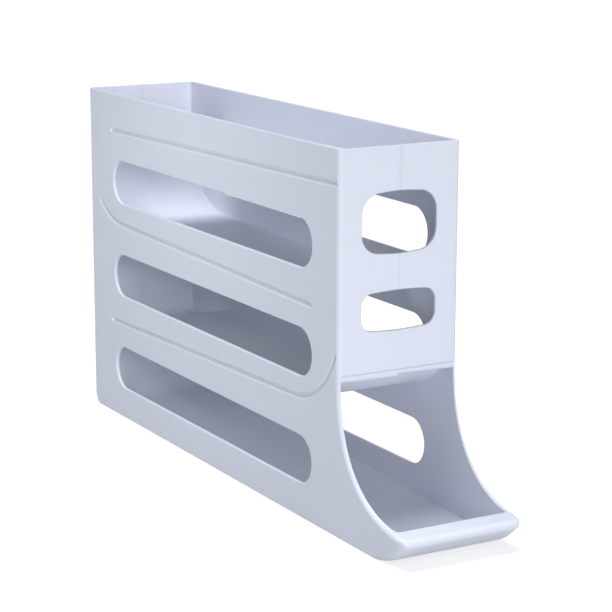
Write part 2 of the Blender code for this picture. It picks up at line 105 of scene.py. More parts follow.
# Steps on round stretches
SWEEP_STEPS = 72
NOSE_STEPS = 20
CORNER_STEPS = 14
SCOOP_STEPS = 56
FILLET_STEPS = 6
END_STEPS = 32
BEND_STEPS = 48
TRAY_STEPS = 24
RIM_STRIDE = 4


# Sizes and colours that a user may change
def length(name, description, default):
    """A length in metres."""
    return FloatProperty(name=name, description=description, default=default,
                         precision=5, unit='LENGTH', subtype='DISTANCE')


def angle(name, description, degrees):
    """An angle, kept in radians."""
    return FloatProperty(name=name, description=description, default=math.radians(degrees),
                         unit='ROTATION', subtype='ANGLE')


def amount(name, description, default, low=0.0, high=1.0):
    """A plain number between two limits."""
    return FloatProperty(name=name, description=description, default=default,
                         min=low, max=high, precision=4, subtype='FACTOR')


def pair(name, description, first, second):
    """Two lengths, such as the foot and the top of a window."""
    return FloatVectorProperty(name=name, description=description, default=(first, second),
                               size=2, precision=5, unit='LENGTH')


def lane(name, front, back):
    """Height of a lane's face at the front face and at the back face of the case."""
    return pair(name, "Height at the front and back faces", front, back)


def tint(name, description, colour):
    """A linear colour."""
    return FloatVectorProperty(name=name, description=description, default=colour,
                               size=3, min=0.0, max=1.0, subtype='COLOR')


class CaseSizes:
    """Outer form of the case."""

    width: length("Width", "Width across both side walls", CAD_SIZE.x)
    height: length("Height", "Height of the rim", CAD_SIZE.z)
    length: length("Length", "Length from the lip's tip to the back", CAD_SIZE.y)
    tray_reach: length("Tray reach", "How far the tray stands out in front", 0.0705)
    wall: length("Wall", "Thickness of the walls and ramps", 0.0022)
    edge: length("Front edges", "Radius of the upright front edges and the sweep", 0.0030)
    base_edge: length("Base edges", "Radius of the edges round the bottom", 0.0018)
    back_edge: length("Back edges", "Radius of the upright back edges", 0.0045)
    back_foot: length("Back foot", "Radius where the back meets the bottom", 0.0090)
    rim: length("Rims", "Radius of thin wall edges", 0.0005)
    opening_rim: length("Opening rims", "Radius of the outer edges of slots and windows", 0.0010)
    fillet: length("Fillets", "Radius of the inner corners", 0.0008)
    seam: length("Seam", "Gap that shows between the half shells", 0.00006)


class TraySizes:
    """Swept side walls, tray and rolled lip."""

    sweep_top: length("Sweep top", "Height where the side walls start to sweep out", 0.0973)
    sweep_depth: length("Sweep depth", "Full depth of the sweep's curve", 0.0738)
    sweep_power: amount("Sweep power", "Fullness of the sweep's curve", 2.37, 1.5, 4.0)
    lip_edge: length("Lip edge", "Distance of the lip's inner edge from the front face", 0.0582)
    lip_height: length("Lip height", "Height of the lip's inner edge", 0.0204)
    lip_slope: angle("Lip slope", "Fall of the lip's top towards its tip", 9.0)
    tip: length("Lip tip", "Radius of the lip's tip", 0.0030)
    nose_lean: angle("Nose lean", "Lean of the lip's front from upright", 50.2)
    heel: length("Heel", "Radius under the lip", 0.0343)
    corner: length("Lip corner", "How far the lip's corners are drawn back", 0.0062)
    floor_fillet: length("Tray fillet", "Radius between tray floor and lip", 0.0160)
    thicker: length("Tray walls", "How much the side walls thicken towards the lip", 0.0018)
    dip: length("Front wall dip", "How far the front wall reaches below the sweep's top", 0.0010)
    strip_back: length("Strip setback", "Setback of the strip at the front wall's foot", 0.0004)
    strip_edge: length("Strip edge", "How far in the strip's lower edge is rounded", 0.0012)
    strip_curve: length("Strip curve", "How far up the strip's lower edge is rounded", 0.0026)
    strip_line: length("Strip line", "Height of the fine groove over the strip", 0.0009)
    strip_line_depth: length("Strip line depth", "Depth of the fine groove", 0.0010)
    left_strip: pair("Left strip", "Height at the side and at the seam", 0.0046, 0.0053)
    right_strip: pair("Right strip", "Height at the side and at the seam", 0.0048, 0.0038)


class LaneSizes:
    """Ramps that the load rolls on."""

    top: lane("Top lane", 0.20713, 0.20092)
    second: lane("Second lane", 0.13184, 0.13916)
    third: lane("Third lane", 0.07650, 0.06738)
    floor: lane("Floor lane", 0.00260, 0.01420)
    scoop: length("Scoop", "Radius of the turned-up lane ends", 0.0510)
    back_drop: length("Back drop", "Opening between a ramp and the back wall", 0.0530)
    front_drop: length("Front drop", "Opening between a ramp and the front wall", 0.0520)


class OpeningSizes:
    """Slots, windows and grooves."""

    slot_height: length("Slot height", "Height of the side slots", 0.0291)
    slot_front: length("Slot front", "Distance of the slots from the front face", 0.0302)
    slot_back: length("Slot back", "Distance of the slots from the back face", 0.0395)
    slot_levels: FloatVectorProperty(name="Slot levels", description="Heights of the slots",
                                     default=(0.16639, 0.10145, 0.03615), size=3, unit='LENGTH')
    window_width: length("Window width", "Width of the front windows", 0.0500)
    window_bow: length("Window bow", "Bow of a window's foot and top", 0.0007)
    upper_window: pair("Upper window", "Foot and top", 0.16440, 0.19900)
    lower_window: pair("Lower window", "Foot and top", 0.11970, 0.14169)
    window_corner: amount("Window corners", "Corner radius by the window's height", 0.346)
    groove_width: length("Groove width", "Width of the grooves along the ramps", 0.0042)
    groove_depth: length("Groove depth", "Depth of the grooves", 0.0012)
    groove_skew: amount("Groove skew", "Rise of a groove's deepest line over its middle", 0.20)
    groove_swing: angle("Groove swing", "Turn of the second groove's end", 39.5)
    third_swing: angle("Third groove swing", "Turn of the third groove's end", 66.5)
    top_groove: pair("Top groove", "Distance of its ends from the two faces", 0.0039, 0.0384)
    second_groove: length("Second groove", "Distance of its end from the front face", 0.0322)
    third_groove: length("Third groove", "Distance of its end from the back face", 0.0359)


class JointSizes:
    """Tongues, bosses and pegs that hold the half shells together."""

    tongue_reach: length("Tongue reach", "How far a tongue passes the middle", 0.0030)
    tongue_margin: length("Tongue margin", "Distance of a tongue's ends from openings", 0.0012)
    tongue_relief: length("Tongue relief", "Distance of a tongue from the inner face", 0.0001)
    play: length("Play", "Gap round tongues and pegs", 0.00015)
    boss: length("Boss", "Radius of the bosses under the ramps", 0.0032)
    boss_hang: length("Boss hang", "Distance of a boss's middle below its lane", 0.0044)
    boss_shares: FloatVectorProperty(name="Boss places", size=4, default=(0.50, 0.34, 0.25, 0.70),
                                     description="Share of the case's length before each boss")
    scoop_boss: angle("Scoop boss", "Turn of the bosses behind the scoops from level", -45.0)
    peg: length("Peg", "Radius of the pegs", 0.0016)
    peg_reach: length("Peg reach", "How far a peg passes the middle", 0.0060)
    peg_root: length("Peg root", "How deep a peg is rooted in its boss", 0.0040)


class ShellSizes(CaseSizes, TraySizes, LaneSizes, OpeningSizes, JointSizes,
                 bpy.types.PropertyGroup):
    """All sizes of the half shells, and the places of the walls' faces."""

    half = property(lambda self: self.width / 2, doc="Outer side face")
    inner_half = property(lambda self: self.half - self.wall, doc="Inner side face")
    back = property(lambda self: self.length / 2, doc="Outer back face")
    inner_back = property(lambda self: self.back - self.wall, doc="Inner back face")
    front = property(lambda self: self.tray_reach - self.back, doc="Outer front face")
    inner_front = property(lambda self: self.front + self.wall, doc="Inner front face")
    foot = property(lambda self: self.sweep_top - self.dip, doc="Foot of the front wall")
    lip_y = property(lambda self: self.front - self.lip_edge, doc="Inner edge of the lip")
    join = property(lambda self: self.front - TRAY_JOIN, doc="Front end of the lanes' hollow")
    join_end = property(lambda self: self.join + TRAY_OVERLAP, doc="Back end of the tray's hollow")
    hair = property(lambda self: self.rim / 100, doc="The little by which cutters miss faces")


class PlasticFinish(bpy.types.PropertyGroup):
    """White moulded plastic."""

    colour: tint("Colour", "Colour of the plastic", (0.770, 0.790, 0.880))
    shade: tint("Shade", "Colour that the plastic drifts to in places", (0.740, 0.760, 0.850))
    roughness: amount("Roughness", "Middle roughness of the moulded surface", 0.45)
    dull_drift: amount("Gloss drift", "How far the roughness drifts to each side", 0.06)
    grain: length("Grain", "Size of the faint ripple in the surface", 0.0030)
    ripple: amount("Ripple", "Strength of the faint ripple", 0.12)
    ripple_height: length("Ripple height", "Height of the faint ripple", 0.00005)
    index: amount("Index", "Refractive index of the plastic", 1.49, 1.0, 2.0)
    # Painted shade: the three settings below darken the tone in a soft band along the joint,
    # standing in for the shade of the shallow sink there
    seam_shade_tone: amount("Sink tone", "Darkening of the joint above the upper window", 0.05)
    seam_shade_width: length("Sink width", "Reach of that darkening to each side", 0.0026)
    seam_shade_foot: length("Sink foot", "Height where that darkening starts", 0.1985)


class StageSettings(bpy.types.PropertyGroup):
    """Floor, lamps and camera."""

    floor_colour: tint("Floor", "Colour of the floor", (0.45, 0.46, 0.48))
    world_colour: tint("Sky light", "Colour of the light from all round", (0.87, 0.92, 1.00))
    world_strength: amount("Sky strength", "Light from all round", 0.20, high=5.0)
    floor_lift: amount("Floor lift", "Glow that lifts the floor to white where it is seen", 0.68)
    key_strength: amount("Key", "Strength of the light from above", 2.35, high=20.0)
    front_strength: amount("Front light", "Strength of the front light", 1.6, high=20.0)
    side_power: amount("Side lamp", "Watts of the lamp at the side", 0.20, high=20.0)
    front_power: amount("Front lamp", "Watts of the lamp in front", 0.26, high=20.0)
    lens: amount("Lens", "Focal length in millimetres on a 36 mm sensor", 118.58, 20.0, 300.0)
    camera_place: FloatVectorProperty(name="Camera place", description="Where the camera stands",
                                      default=(-0.6057, -1.08515, 0.3866), size=3, unit='LENGTH')
    camera_yaw: angle("Camera yaw", "Turn of the view from +Y towards +X", 29.83)
    camera_pitch: angle("Camera pitch", "How far the view looks down", 12.72)
    camera_roll: angle("Camera roll", "Tilt of the picture", 0.16)


# Lines and curves
def arc(centre, radius, start, end, steps):
    """centre + radius (cos a, sin a), with the angle a in even steps from start to end."""
    a = np.linspace(start, end, steps + 1)
    return np.column_stack((centre[0] + radius * np.cos(a), centre[1] + radius * np.sin(a)))


def quarter_rise(past, radius):
    """r - sqrt(r^2 - d^2): how far a quarter-round edge draws in at d past its start."""
    d = np.clip(past, 0, radius)
    return radius - np.sqrt(np.maximum(radius * radius - d * d, 0))


def smooth_share(values, start, end):
    """3 s^2 - 2 s^3 for s running from 0 at start to 1 at end."""
    s = np.clip((values - start) / (end - start), 0, 1)
    return s * s * (3 - 2 * s)


def rounded(corners, radii, steps):
    """Closed line whose corners become arcs tangent to both their sides.

    At a corner with unit directions u to the point before and v to the point after, the arc
    of radius r starts at corner + u t and ends at corner + v t, t = r / tan(half the angle
    between u and v), about corner + (u + v) / |u + v| * r / sin(half the angle).
    """
    pieces = []
    for index, (corner, radius) in enumerate(zip(corners, radii)):
        if radius == 0:
            pieces.append(corner[None])
            continue
        u = corners[index - 1] - corner
        v = corners[(index + 1) % len(corners)] - corner
        u, v = u / np.linalg.norm(u), v / np.linalg.norm(v)
        half = math.acos(np.clip(u @ v, -1, 1)) / 2
        middle = corner + (u + v) / np.linalg.norm(u + v) * radius / math.sin(half)
        start = corner + u * radius / math.tan(half) - middle
        end = corner + v * radius / math.tan(half) - middle
        first = math.atan2(start[1], start[0])
        swing = (math.atan2(end[1], end[0]) - first + math.pi) % TURN - math.pi
        pieces.append(arc(middle, radius, first, first + swing, steps))
    return np.concatenate(pieces)


def rounded_line(line):
    """Closed line through pairs of a point, or several, and the corner radius there."""
    corners = [np.atleast_2d(points) for points, _ in line]
    radii = [[radius] * len(points) for points, (_, radius) in zip(corners, line)]
    return rounded(np.concatenate(corners), np.concatenate(radii), FILLET_STEPS)


def outward(points):
    """Unit normals of a closed line with its solid on the left: each side's step, turned."""
    step = np.roll(points, -1, axis=0) - np.roll(points, 1, axis=0)
    step /= np.linalg.norm(step, axis=1, keepdims=True)
    return np.column_stack((step[:, 1], -step[:, 0]))


# Meshes
def grid_solid(name, grid, strips=False):
    """Closed solid from a grid of points: every row is a closed ring, and both ends are capped.

    Each cap is one face, or with strips a row of quads between the ring's two halves, for a
    cap that bends.
    """
    rows, columns = grid.shape[:2]
    row, column = np.meshgrid(np.arange(rows - 1), np.arange(columns), indexing='ij')
    start = row * columns + column
    after = row * columns + (column + 1) % columns
    quads = np.stack((start, after, after + columns, start + columns), axis=-1).reshape(-1, 4)
    ring = np.arange(columns)
    low = ring[:columns // 2 - 1]
    high = columns - 1 - low
    cap = np.stack((low, low + 1, high - 1, high), axis=-1) if strips else ring[None]
    caps = (cap[:, ::-1], cap + (rows - 1) * columns)
    mesh = bpy.data.meshes.new(name)
    mesh.from_pydata(grid.reshape(-1, 3), [],
                     [*quads.tolist(), *caps[0].tolist(), *caps[1].tolist()])
    shape = bmesh.new()
    shape.from_mesh(mesh)
    bmesh.ops.recalc_face_normals(shape, faces=shape.faces)
    shape.to_mesh(mesh)
    shape.free()
    return mesh


def add_object(name, data):
    """An object at the origin that carries a mesh, a lamp or a camera."""
    item = bpy.data.objects.new(name, data)
    bpy.context.scene.collection.objects.link(item)
    return item


def stack(axis, places, outlines):
    """Points (x, y, z) from a flat outline for each place along an axis, or from one for all."""
    outlines = np.broadcast_to(outlines, (len(places), *outlines.shape[-2:]))
    along = np.broadcast_to(np.asarray(places)[:, None, None], (*outlines.shape[:2], 1))
    return np.concatenate((outlines[:, :, :axis], along, outlines[:, :, axis:]), axis=2)


def prism(name, outline, low, high):
    """A (y, z) outline carried straight across from one x to another."""
    return grid_solid(name, stack(X, [low, high], outline))


def rod(name, centre, radius, low, high):
    """A round rod across the width about a (y, z) place."""
    ring = arc(centre, radius, 0, TURN, END_STEPS)[:-1]
    return prism(name, ring, low, high)


def block(name, low, high):
    """A box between two corners, as a square carried across the width."""
    square = np.array([(low[1], low[2]), (high[1], low[2]), (high[1], high[2]),
                       (low[1], high[2])])
    return prism(name, square, low[0], high[0])


def weld(mesh, gap):
    """Join points closer than the gap and take out the slivers that are left."""
    shape = bmesh.new()
    shape.from_mesh(mesh)
    bmesh.ops.remove_doubles(shape, verts=shape.verts, dist=gap)
    bmesh.ops.dissolve_degenerate(shape, edges=shape.edges, dist=gap)
    shape.to_mesh(mesh)
    shape.free()


def combine(mesh, tools, operation):
    """The mesh after an exact Boolean with each tool mesh in turn, welded after each."""
    for tool in tools:
        body = add_object("body", mesh)
        helper = add_object(tool.name, tool)
        modifier = body.modifiers.new(tool.name, 'BOOLEAN')
        modifier.operation = operation
        modifier.solver = 'EXACT'
        modifier.object = helper
        graph = bpy.context.evaluated_depsgraph_get()
        mesh = bpy.data.meshes.new_from_object(body.evaluated_get(graph))
        weld(mesh, WELD)
        for item in (body, helper):
            bpy.data.objects.remove(item, do_unlink=True)
    return mesh


# Outer form of the case
def nose_circles(size):
    """Centres of the lip's tip circle and of the heel circle, both touched by the nose line."""
    front = size.front
    tip_y = front - size.tray_reach + size.tip
    fall = math.tan(size.lip_slope) * (size.lip_y - tip_y) + size.tip / math.cos(size.lip_slope)
    tip_z = size.lip_height - fall
    normal_y, normal_z = -math.cos(size.nose_lean), -math.sin(size.nose_lean)
    spread = (size.tip - size.heel) - (size.heel - tip_z) * normal_z
    return (tip_y, tip_z), (tip_y + spread / normal_y, size.heel)


def sweep_line(size):
    """Superellipse: out = D (1 - cos(t)^p), down = H sin(t)^p, from the front face to the lip."""
    power = 2 / size.sweep_power
    last = math.acos((1 - size.lip_edge / size.sweep_depth) ** (1 / power))
    drop = (size.sweep_top - size.lip_height) / math.sin(last) ** power
    t = np.linspace(0, last, SWEEP_STEPS + 1)
    out = size.sweep_depth * (1 - np.cos(t) ** power)
    return np.column_stack((size.front - out, size.sweep_top - drop * np.sin(t) ** power))


def case_outline(size):
    """Side outline of the case, and the number of the piece that each point lies on.

    It runs down the front (0), out along the sweep (1), round the lip (2), back along the
    bottom (3) and up the back (4).
    """
    tip, heel = nose_circles(size)
    lean = math.pi + size.nose_lean
    rim, foot = size.rim, size.back_foot
    pieces = (
        arc((size.front + rim, size.height - rim), rim, RIGHT, RIGHT * 2, FILLET_STEPS),
        sweep_line(size),
        np.concatenate((arc(tip, size.tip, RIGHT + size.lip_slope, lean, NOSE_STEPS),
                        arc(heel, size.heel, lean, RIGHT * 3, NOSE_STEPS))),
        arc((size.back - foot, foot), foot, -RIGHT, 0, NOSE_STEPS),
        arc((size.back - rim, size.height - rim), rim, 0, RIGHT, FILLET_STEPS))
    return np.concatenate(pieces), np.repeat(np.arange(5), [len(piece) for piece in pieces])


def case_stations(size):
    """Distances from the middle at which the case's section is worked out."""
    swing = np.sin(np.linspace(0, RIGHT, CORNER_STEPS * 2 + 1))
    rim_swing = 1 - np.cos(np.linspace(0, RIGHT, FILLET_STEPS + 1))
    xs = np.unique(np.concatenate((
        [size.seam / 2, size.half / 3, size.half * 2 / 3, size.inner_half - size.rim],
        size.half - size.back_edge + size.back_edge * swing,
        size.half - size.edge + size.edge * swing,
        size.half - size.rim + size.rim * swing[::RIM_STRIDE],
        size.inner_half + size.rim * rim_swing + size.hair)).round(6))
    return xs[np.append(np.diff(xs) > CLOSE, True)]


def case_block(size):
    """Case block: at distance x the outline is drawn in by r - sqrt(r^2 - d^2) at its edges.

    The radius r seen from above differs from that seen from the front. The lip's corners are
    set back in the same way, and the sweep's inner rim is rounded.
    """
    points, piece = case_outline(size)
    y, z = points.T
    lean, rise = outward(points).T
    share = np.select([piece == 0, piece == 4], [-1, 1], lean)
    above = np.where(piece >= 3, size.back_edge, size.edge)
    ahead = np.select([piece % 4 == 0, rise < 0], [size.rim, size.base_edge], size.edge)
    sweep = (piece == 1) * smooth_share(z, size.sweep_top - FADE_START,
                                        size.sweep_top - SWEEP_FADE)
    sweep = sweep * smooth_share(y, size.lip_y + FADE_START, size.lip_y + LIP_FADE)
    xs = case_stations(size)
    past = xs[:, None] - size.half
    setback = quarter_rise(past + size.corner, size.corner) * (piece == 2)
    inside = quarter_rise(size.inner_half + size.rim - xs[:, None], size.rim) * sweep
    lift = setback * math.tan(size.lip_slope) * z / size.lip_height
    y = y - share * quarter_rise(past + above, above) + setback - lean * inside
    z = z - rise * quarter_rise(past + ahead, ahead) + lift - rise * inside
    return grid_solid("case_block", stack(X, xs, np.stack((y, z), axis=2)))


# Ramps and lanes
def lane_height(size, ramp, y):
    """Height of a straight lane face at y, from its heights at the front and back faces."""
    return ramp[0] + (ramp[1] - ramp[0]) * (y - size.front) / (size.back - size.front)


def lane_lean(size, ramp):
    """Angle of a lane face above level, towards the back."""
    return math.atan((ramp[1] - ramp[0]) / (size.back - size.front))


def on_lane(size, ramp, y, drop):
    """The place on a lane face at y, lowered square to the face by drop."""
    lean = lane_lean(size, ramp)
    return np.array((y + math.sin(lean) * drop,
                     lane_height(size, ramp, y) - math.cos(lean) * drop))


def scoop_centre(size, ramp, side):
    """Centre of a scoop, which leaves its lane face upwards near the front (-1) or back (1)."""
    reach = size.scoop - size.wall / 2
    y = size.inner_back - reach if side > 0 else size.inner_front + reach
    rise = size.scoop / math.cos(lane_lean(size, ramp))
    return np.array((y, lane_height(size, ramp, y) + rise))


def scoop_arc(size, ramp, side, drop):
    """Scoop from its lane face to the wall: an arc of radius r + drop about its centre."""
    radius = size.scoop + drop
    meet = math.acos((size.scoop - size.wall / 2) / radius)
    wall = RIGHT * 4 - meet if side > 0 else RIGHT * 2 + meet
    down = RIGHT * 3 + lane_lean(size, ramp)
    return arc(scoop_centre(size, ramp, side), radius, down, wall, SCOOP_STEPS)


def scoop_underside(size, ramp, side):
    """Underside of a scoop, with a fillet f where it runs up into its wall.

    The fillet's circle touches the wall, so its centre lies f off it, and touches the
    underside's circle, so it lies r + w + f from the scoop's centre.
    """
    fillet = size.fillet
    centre = scoop_centre(size, ramp, side)
    y = size.inner_back - fillet if side > 0 else size.inner_front + fillet
    reach = size.scoop + size.wall + fillet
    z = centre[1] - math.sqrt(reach ** 2 - (centre[0] - y) ** 2)
    touch = math.atan2(z - centre[1], y - centre[0]) % TURN
    under = arc(centre, size.scoop + size.wall, RIGHT * 3 + lane_lean(size, ramp), touch,
                SCOOP_STEPS)
    root = arc((y, z), fillet, touch - math.pi, 0 if side > 0 else math.pi, FILLET_STEPS * 2)
    return np.concatenate((under, root[1:]))


def free_end(size, ramp, y, side):
    """Half-round nose of a ramp, from its underside round to its lane face."""
    lean = lane_lean(size, ramp)
    middle = (on_lane(size, ramp, y, 0) + on_lane(size, ramp, y, size.wall)) / 2
    turn = RIGHT * side
    return arc(middle, size.wall / 2, lean - RIGHT, lean - RIGHT + turn * 2, CORNER_STEPS)


def lane_outline(size, strip):
    """Closed line round the space that the load rolls through.

    It goes down the front wall and round the top and third ramps, round the strip at the
    front wall's foot, down to the floor lane, along it, and up the back round the second ramp.
    The strip's lower edge is a quarter ellipse, a (1 - cos t) in and b (1 - sin t) up.
    """
    above = size.height + ABOVE_RIM
    foot, join = size.foot, size.join
    face = size.front + size.strip_back
    back_end = size.inner_back - size.back_drop
    front_end = size.inner_front + size.front_drop
    third_face = scoop_arc(size, size.third, -1, 0)
    third_under = scoop_underside(size, size.third, -1)
    floor_face = scoop_arc(size, size.floor, 1, 0)
    second_face = scoop_arc(size, size.second, 1, 0)
    second_under = scoop_underside(size, size.second, 1)
    top_root = on_lane(size, size.top, size.inner_front, size.wall)
    soft, sharp = size.fillet, size.rim
    t = np.linspace(RIGHT, 0, FILLET_STEPS * 2)
    bead = np.column_stack((face + size.strip_edge * (1 - np.cos(t)),
                            foot - strip + size.strip_curve * (1 - np.sin(t))))
    return rounded_line([
        ((size.inner_front, above), 0),
        ((size.inner_front, lane_height(size, size.top, size.inner_front)), soft),
        (free_end(size, size.top, back_end, 1)[::-1], 0),
        ((size.inner_front, top_root[1]), soft),
        (third_face[-1], soft),
        (third_face[-2::-1], 0),
        (free_end(size, size.third, back_end, 1)[::-1], 0),
        (third_under, 0),
        ((size.inner_front, foot - strip), sharp),
        (bead, 0),
        ((face, foot), 0),
        ((size.front - size.hair, foot), sharp / 3),
        ((size.front - size.hair, foot + INTO_AIR), 0),
        ((join, foot + INTO_AIR), 0),
        ((join, lane_height(size, size.floor, join)), 0),
        (floor_face[:-1], 0),
        (floor_face[-1], soft),
        (second_under[::-1], 0),
        (free_end(size, size.second, front_end, -1), 0),
        (second_face[:-1], 0),
        (second_face[-1], soft),
        ((size.inner_back, above), 0),
    ])


def tray_floor(size):
    """Line from the air over the lip down its fillet and back along the floor, y rising."""
    back, lip_y = size.join_end, size.lip_y
    floor_lean = (size.floor[1] - size.floor[0]) / (size.back - size.front)
    ramp_start = size.front + (size.wall - size.floor[0]) / floor_lean
    fillet = arc((lip_y + size.floor_fillet, size.wall + size.floor_fillet), size.floor_fillet,
                 LIP_FILLET_START, RIGHT * 3, NOSE_STEPS)
    points = rounded_line([
        ((lip_y - INTO_AIR * 3, size.lip_height + INTO_AIR), 0),
        ((lip_y - INTO_AIR, size.lip_height - INTO_AIR * math.tan(size.lip_slope) + size.hair), 0),
        ((lip_y, size.lip_height + size.hair), size.rim),
        (fillet, 0),
        ((ramp_start, size.wall), 0),
        ((back, lane_height(size, size.floor, back) + size.hair * 2), 0),
    ])
    between = np.linspace(lip_y + size.floor_fillet, back, TRAY_STEPS + 1)[1:-1]
    ys = np.union1d(points[:, 0], between)
    return np.column_stack((ys, np.interp(ys, points[:, 0], points[:, 1])))


def tray_solid(size):
    """Hollow over the tray's floor; x falls short of the side wall by T s^2.

    s runs from 0 at the front wall to 1 at the lip, so that the walls thicken smoothly.
    """
    floor = tray_floor(size)
    step = np.gradient(floor, axis=0)
    upward = np.column_stack((-step[:, 1], step[:, 0])) / np.linalg.norm(step, axis=1)[:, None]
    radius = size.fillet * TRAY_FILLET
    swing = np.sin(np.linspace(0, RIGHT, FILLET_STEPS * 2 + 1))
    reach = size.inner_half - size.hair * 2
    xs = np.concatenate(([-size.wall], reach - radius + radius * swing))
    inset = quarter_rise(xs - reach + radius, radius)[:, None, None]
    low = floor[None] + upward[None] * inset
    low[:, -1, 0] = size.join_end
    high = low[:, ::-1].copy()
    high[:, :, 1] = size.sweep_top + OVER_SWEEP
    grid = stack(X, xs, np.concatenate((low, high), axis=1))
    share = size.join_end - grid[1:, :, 1]
    share /= size.lip_edge + TRAY_OVERLAP - (size.front - size.join)
    grid[1:, :, 0] -= size.thicker * share * share
    return grid_solid("tray", grid, strips=True)


def underfloor_outline(size):
    """Closed line round the hollow between the floor lane and the bottom."""
    under = scoop_arc(size, size.floor, 1, size.wall)
    lean = lane_lean(size, size.floor)
    start = under[0]
    reach = (start[1] - size.wall) / math.tan(lean)
    foot = size.back_foot - size.wall
    corner = arc((size.inner_back - foot, size.wall + foot), foot, -RIGHT, 0, CORNER_STEPS)
    tip = start - np.array((reach, reach * math.tan(lean))) * WEDGE_SHARE
    return np.concatenate(([(tip[0], size.wall)], corner, under[::-1], [tip]))


def inner_solid(name, size, outline, radius, drift, tight=0):
    """A (y, z) outline carried from beyond the middle to the side wall.

    Towards the wall each point is drawn in by r - sqrt(r^2 - d^2), as an inner fillet, or by
    a small share of that where tight is 1. Towards the middle it moves up by its drift times
    its distance from the wall. The rounded corner between side and back wall is taken off.
    """
    inner_half = size.inner_half
    swing = np.sin(np.linspace(0, RIGHT, FILLET_STEPS + 1)) if radius else np.ones(1)
    xs = np.concatenate(([-size.wall], inner_half - radius + radius * swing))
    inset = quarter_rise(xs - inner_half + radius, radius)[:, None, None]
    share = (1 - (1 - TIGHT_FILLET) * np.asarray(tight))[..., None]
    shapes = outline[None] - outward(outline)[None] * inset * share
    shapes[:, :, 1] += drift * (inner_half - xs)[:, None]
    solid = grid_solid(name, stack(X, xs, shapes))
    return combine(solid, [back_corner(size)], 'DIFFERENCE')


def strip_marks(size, outline, strip):
    """1 at the outline's points round the strip, and the rise of the strip's lower edge.

    The rise is that from the side wall to the middle per distance, and 0 elsewhere.
    """
    y, z = outline.T
    near = (y > size.front - size.rim) & (y < size.inner_front + size.rim / 10)
    near &= (z < size.foot + size.rim) & (z > size.foot - strip[0] - size.rim)
    rise = (strip[0] - strip[1]) / size.inner_half
    return near.astype(float), near * (z < size.foot - size.rim) * rise


def strip_line(size):
    """Fine groove across the front wall over the strip, with a sloping lower side."""
    face = size.front + size.strip_back
    top = size.foot - size.hair
    low = size.foot - size.strip_line
    slant = size.strip_line_depth / 3
    outline = np.array([(face - slant, top), (face - slant, low - slant * 2),
                        (face + slant, low), (face + size.strip_line_depth, low),
                        (face + size.strip_line_depth, top)])
    return prism("strip_line", outline, -size.wall, size.inner_half - size.rim)


def back_corner(size):
    """Upright filler behind a quarter circle, (cos a, sin a) times the corner's radius."""
    corner = size.back_edge - size.wall
    middle = (size.inner_half - corner + size.hair, size.inner_back - corner + size.hair)
    past = size.wall / 2
    plan = np.concatenate((arc(middle, corner, 0, RIGHT, CORNER_STEPS * 2),
                           [(middle[0], size.inner_back + past),
                            (size.inner_half + past, size.inner_back + past),
                            (size.inner_half + past, middle[1])]))
    return grid_solid("back_corner", stack(Z, [-size.wall, size.height * 2], plan))


def rim_flare(size):
    """Rounds the rim's inner edge: the inner plan grows by r - r cos(a) at height r sin(a)."""
    rim = size.rim
    a = np.linspace(0, RIGHT, FILLET_STEPS + 1)
    grow = np.concatenate(([-rim], rim - rim * np.cos(a) - size.hair, [rim]))
    level = size.height + np.concatenate(([-rim - size.hair], rim * np.sin(a) - rim + size.hair,
                                          [rim * 8]))
    corner = size.back_edge - size.wall
    rings = []
    for reach in grow:
        side = size.inner_half + reach
        front, back = size.inner_front - reach, size.inner_back + reach
        plan = np.array([(-size.wall, front), (side, front), (side, back), (-size.wall, back)])
        radii = [0, size.fillet + max(reach, 0), corner + reach, 0]
        rings.append(rounded(plan, radii, CORNER_STEPS))
    return grid_solid("rim_flare", stack(Z, level, np.stack(rings)))


# Openings and grooves
def through_profile(size, low, high):
    """Depths through a wall and how far an opening has flared there.

    Between the faces the opening has its own size; over the last r to either face it grows
    as r - sqrt(r^2 - d^2), so that the wall's edges are quarter round.
    """
    rim, wide = size.rim, size.opening_rim
    a = np.linspace(0, RIGHT, FILLET_STEPS * 2 + 1)
    inner = low - size.hair + rim * (1 - np.sin(a))[::-1]
    outer = high + size.hair - wide * (1 - np.sin(a))
    grow = 1 - np.cos(a)
    depth = np.concatenate(([low - size.wall], inner, outer, [high + size.wall]))
    return depth, np.concatenate(([rim], rim * grow[::-1], wide * grow, [wide]))


def slot_outline(size, level, grow):
    """Level slot with full-round ends, grown outwards by the given amount."""
    radius = size.slot_height / 2
    front = (size.front + size.slot_front + radius, level)
    back = (size.back - size.slot_back - radius, level)
    return np.concatenate((arc(back, radius + grow, -RIGHT, RIGHT, END_STEPS),
                           arc(front, radius + grow, RIGHT, RIGHT * 3, END_STEPS)))


def window_outline(size, span, grow):
    """Round-cornered window in (x, z); foot and top bow by b sin(pi s) along their length."""
    foot, top = span
    radius = (top - foot) * size.window_corner
    inner = size.window_width / 2 - radius
    share = np.linspace(0, 1, CORNER_STEPS + 2)[1:-1]
    bow = size.window_bow * np.sin(math.pi * share) + grow
    across = inner - 2 * inner * share
    low, high, reach = foot + radius, top - radius, radius + grow
    return np.concatenate((
        np.column_stack((-across, foot - bow)),
        arc((inner, low), reach, -RIGHT, 0, CORNER_STEPS),
        arc((inner, high), reach, 0, RIGHT, CORNER_STEPS),
        np.column_stack((across, top + bow)),
        arc((-inner, high), reach, RIGHT, RIGHT * 2, CORNER_STEPS),
        arc((-inner, low), reach, RIGHT * 2, RIGHT * 3, CORNER_STEPS)))


def opening_cutters(size):
    """Slots through the side wall and windows through the front wall, flared at both faces."""
    cutters = []
    depth, grow = through_profile(size, size.inner_half, size.half)
    for level in size.slot_levels:
        rings = np.stack([slot_outline(size, level, g) for g in grow])
        cutters.append(grid_solid("slot", stack(X, depth, rings)))
    depth, grow = through_profile(size, -size.inner_front, -size.front)
    for span in (size.upper_window, size.lower_window):
        rings = np.stack([window_outline(size, span, g) for g in grow])
        cutters.append(grid_solid("window", stack(Y, -depth, rings)))
    return cutters


